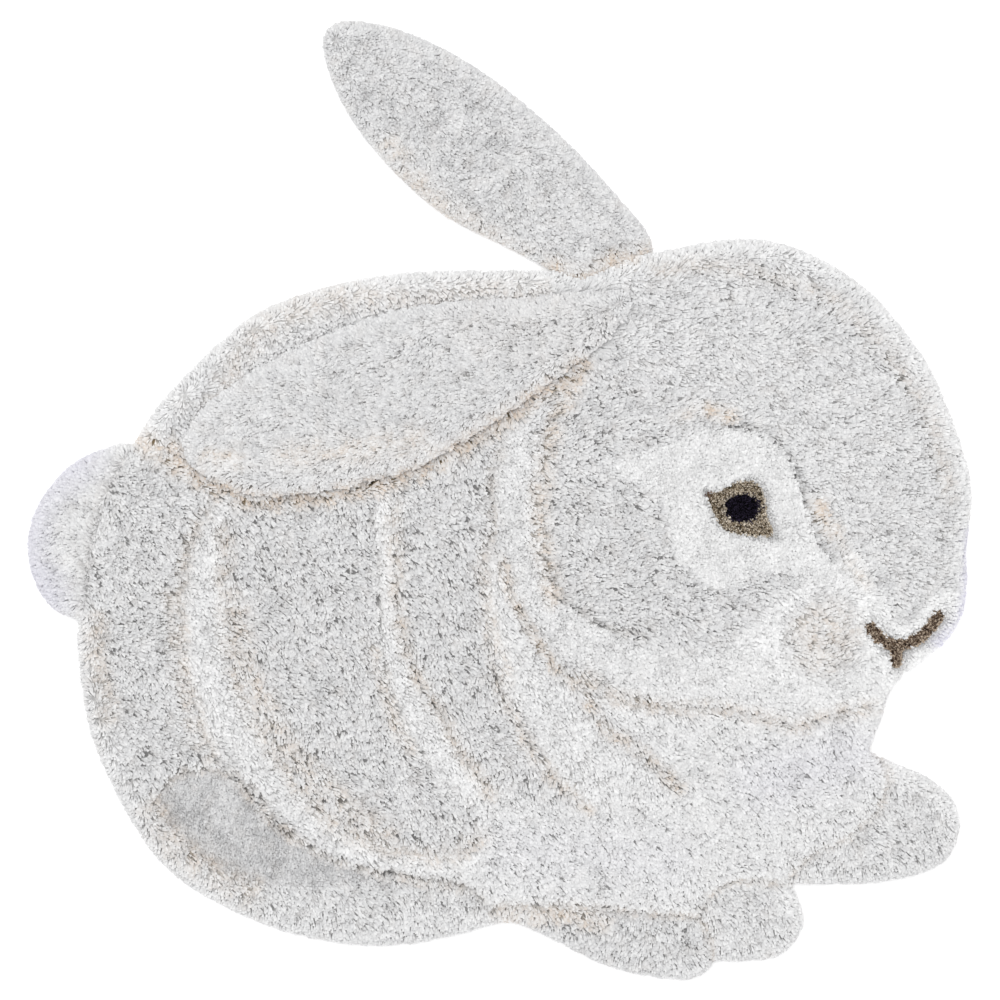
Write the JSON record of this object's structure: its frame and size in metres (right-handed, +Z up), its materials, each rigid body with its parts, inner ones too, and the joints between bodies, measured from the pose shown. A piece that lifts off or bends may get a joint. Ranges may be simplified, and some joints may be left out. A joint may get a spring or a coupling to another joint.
{
  "type": "rabbit-shaped rug",
  "caption": "Tufted cotton floor rug in the outline of a lying rabbit, with one ear set on its edge, one loose over its back, and a face in dark yarn.",
  "frame": {"origin": "middle of the rug's outline, on the floor", "axes": "+X towards the rabbit's nose, +Y towards its ears, +Z up out of the pile"},
  "size_m": [1.0828, 1.1018, 0.0263],
  "materials": {
    "cotton_natural": "cut pile of undyed and pale grey cotton yarn, matt",
    "cotton_grey": "shorter cut pile of pale grey cotton yarn, matt",
    "cotton_brown": "cut pile of taupe brown cotton yarn, matt",
    "cotton_black": "cut pile of black cotton yarn, matt"
  },
  "bodies": {
    "root": {"rug_body": "cotton_natural", "upper_ear": "cotton_grey", "lower_ear": "cotton_grey", "eye_ring": "cotton_brown", "eye_pupil": "cotton_black", "mouth": "cotton_brown"}
  },
  "joints": []
}
